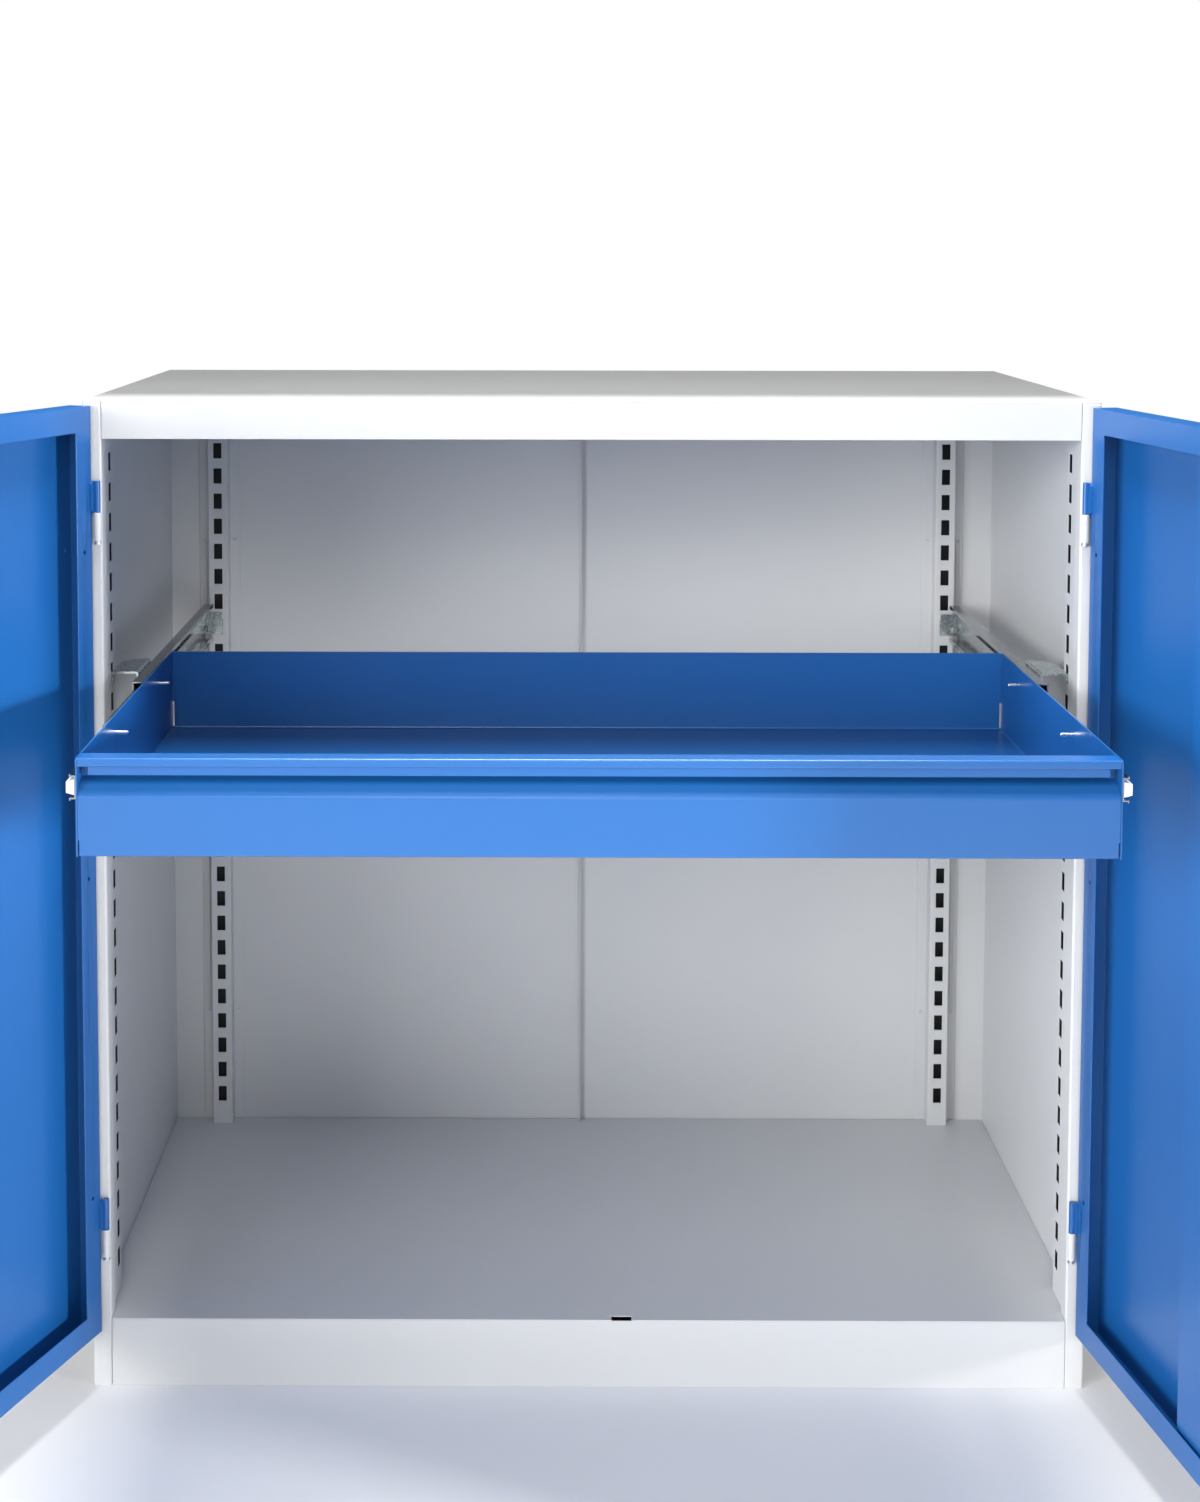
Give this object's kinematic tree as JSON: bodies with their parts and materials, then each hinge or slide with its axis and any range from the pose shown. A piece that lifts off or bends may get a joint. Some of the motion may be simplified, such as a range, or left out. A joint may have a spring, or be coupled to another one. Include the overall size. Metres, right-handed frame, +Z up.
{
  "type": "tool cabinet",
  "caption": "Sheet-steel tool cabinet with slotted posts, two hinged doors with a rod latch, and a drawer with a grip recess on telescopic ball slides.",
  "frame": {"origin": "on the floor, in the middle of the carcass's footprint", "axes": "+X to the right seen from the doors, +Y from the doors to the back, +Z up"},
  "size_m": [1.3151, 0.9588, 1],
  "materials": {
    "light_grey_paint": "semi-gloss",
    "blue_paint": "semi-gloss",
    "zinc_plated_steel": "satin",
    "white_plastic": "matt",
    "black_handle": "satin",
    "ball_steel": "polished"
  },
  "bodies": {
    "carcass": {"left_side_panel": "light_grey_paint", "right_side_panel": "light_grey_paint", "left_back_panel": "light_grey_paint", "right_back_panel": "light_grey_paint", "top_cover": "light_grey_paint", "top_front_rail": "light_grey_paint", "floor_pan": "light_grey_paint", "plinth": "light_grey_paint", "front_left_post": "light_grey_paint", "front_right_post": "light_grey_paint", "rear_left_post": "light_grey_paint", "rear_right_post": "light_grey_paint", "post_rivets": "light_grey_paint", "hinge_knuckles": "light_grey_paint", "hinge_pins": "zinc_plated_steel", "hinge_washers": "zinc_plated_steel", "levelling_screws": "zinc_plated_steel", "levelling_nuts": "zinc_plated_steel", "front_left_bracket": "zinc_plated_steel", "front_right_bracket": "zinc_plated_steel", "rear_left_clip": "zinc_plated_steel", "rear_right_clip": "zinc_plated_steel", "left_slide_outer": "zinc_plated_steel", "right_slide_outer": "zinc_plated_steel", "bracket_rivets": "zinc_plated_steel"},
    "left_door": {"left_door_panel": "blue_paint", "left_door_lugs": "blue_paint", "left_door_stiffener": "blue_paint", "left_door_astragal": "blue_paint"},
    "right_door": {"right_door_panel": "blue_paint", "right_door_lugs": "blue_paint", "right_door_stiffener": "blue_paint", "handle_plate": "black_handle", "rod_guides": "white_plastic"},
    "handle": {"handle_lever": "black_handle", "latch_cam": "zinc_plated_steel"},
    "lock": {"lock_cylinder": "zinc_plated_steel"},
    "upper_rod": {"upper_latch_rod": "zinc_plated_steel"},
    "lower_rod": {"lower_latch_rod": "zinc_plated_steel"},
    "drawer": {"drawer_floor": "blue_paint", "drawer_back": "blue_paint", "drawer_front": "blue_paint", "drawer_left_side": "blue_paint", "drawer_right_side": "blue_paint", "slide_studs": "zinc_plated_steel", "slide_bumpers": "white_plastic", "left_slide_inner": "zinc_plated_steel", "right_slide_inner": "zinc_plated_steel"},
    "left_middle": {"left_slide_middle": "zinc_plated_steel"},
    "left_outer_race": {"left_outer_cage": "zinc_plated_steel", "left_outer_balls": "ball_steel"},
    "left_inner_race": {"left_inner_cage": "zinc_plated_steel", "left_inner_balls": "ball_steel"},
    "right_middle": {"right_slide_middle": "zinc_plated_steel"},
    "right_outer_race": {"right_outer_cage": "zinc_plated_steel", "right_outer_balls": "ball_steel"},
    "right_inner_race": {"right_inner_cage": "zinc_plated_steel", "right_inner_balls": "ball_steel"}
  },
  "joints": [
    {"name": "left_door", "type": "hinge", "parent": "carcass", "child": "left_door", "pos_m": [-0.4847, -0.24375, 0.527], "axis": [0, 0, -1], "range_deg": [-24, 2]},
    {"name": "right_door", "type": "hinge", "parent": "carcass", "child": "right_door", "pos_m": [0.4847, -0.24375, 0.527], "axis": [0, 0, 1], "range_deg": [-12, 14]},
    {"name": "drawer_slide", "type": "slide", "parent": "carcass", "child": "drawer", "axis": [0, -1, 0], "range_m": [-0.303, 0.137]},
    {"name": "left_middle_slide", "type": "slide", "parent": "carcass", "child": "left_middle", "axis": [0, -1, 0], "range_m": [-0.1515, 0.0685]},
    {"name": "left_outer_race_slide", "type": "slide", "parent": "carcass", "child": "left_outer_race", "axis": [0, -1, 0], "range_m": [-0.07575, 0.03425]},
    {"name": "left_inner_race_slide", "type": "slide", "parent": "carcass", "child": "left_inner_race", "axis": [0, -1, 0], "range_m": [-0.22725, 0.10275]},
    {"name": "right_middle_slide", "type": "slide", "parent": "carcass", "child": "right_middle", "axis": [0, -1, 0], "range_m": [-0.1515, 0.0685]},
    {"name": "right_outer_race_slide", "type": "slide", "parent": "carcass", "child": "right_outer_race", "axis": [0, -1, 0], "range_m": [-0.07575, 0.03425]},
    {"name": "right_inner_race_slide", "type": "slide", "parent": "carcass", "child": "right_inner_race", "axis": [0, -1, 0], "range_m": [-0.22725, 0.10275]},
    {"name": "handle_turn", "type": "hinge", "parent": "right_door", "child": "handle", "pos_m": [0.56079, -0.67529, 0.527], "axis": [-0.9848, -0.1736, 0], "range_deg": [0, 90]},
    {"name": "lock_turn", "type": "hinge", "parent": "right_door", "child": "lock", "pos_m": [0.56079, -0.67529, 0.477], "axis": [-0.9848, -0.1736, 0], "range_deg": [0, 90]},
    {"name": "upper_rod_slide", "type": "slide", "parent": "right_door", "child": "upper_rod", "axis": [0, 0, -1], "range_m": [0, 0.02546]},
    {"name": "lower_rod_slide", "type": "slide", "parent": "right_door", "child": "lower_rod", "axis": [0, 0, 1], "range_m": [0, 0.02546]}
  ],
  "couplings": [
    {"joint": "left_middle_slide", "follows": "drawer_slide", "ratio": 0.5},
    {"joint": "left_outer_race_slide", "follows": "drawer_slide", "ratio": 0.25},
    {"joint": "left_inner_race_slide", "follows": "drawer_slide", "ratio": 0.75},
    {"joint": "right_middle_slide", "follows": "drawer_slide", "ratio": 0.5},
    {"joint": "right_outer_race_slide", "follows": "drawer_slide", "ratio": 0.25},
    {"joint": "right_inner_race_slide", "follows": "drawer_slide", "ratio": 0.75},
    {"joint": "upper_rod_slide", "follows": "handle_turn", "m_per_rad": 0.016206},
    {"joint": "lower_rod_slide", "follows": "handle_turn", "m_per_rad": 0.016206}
  ]
}
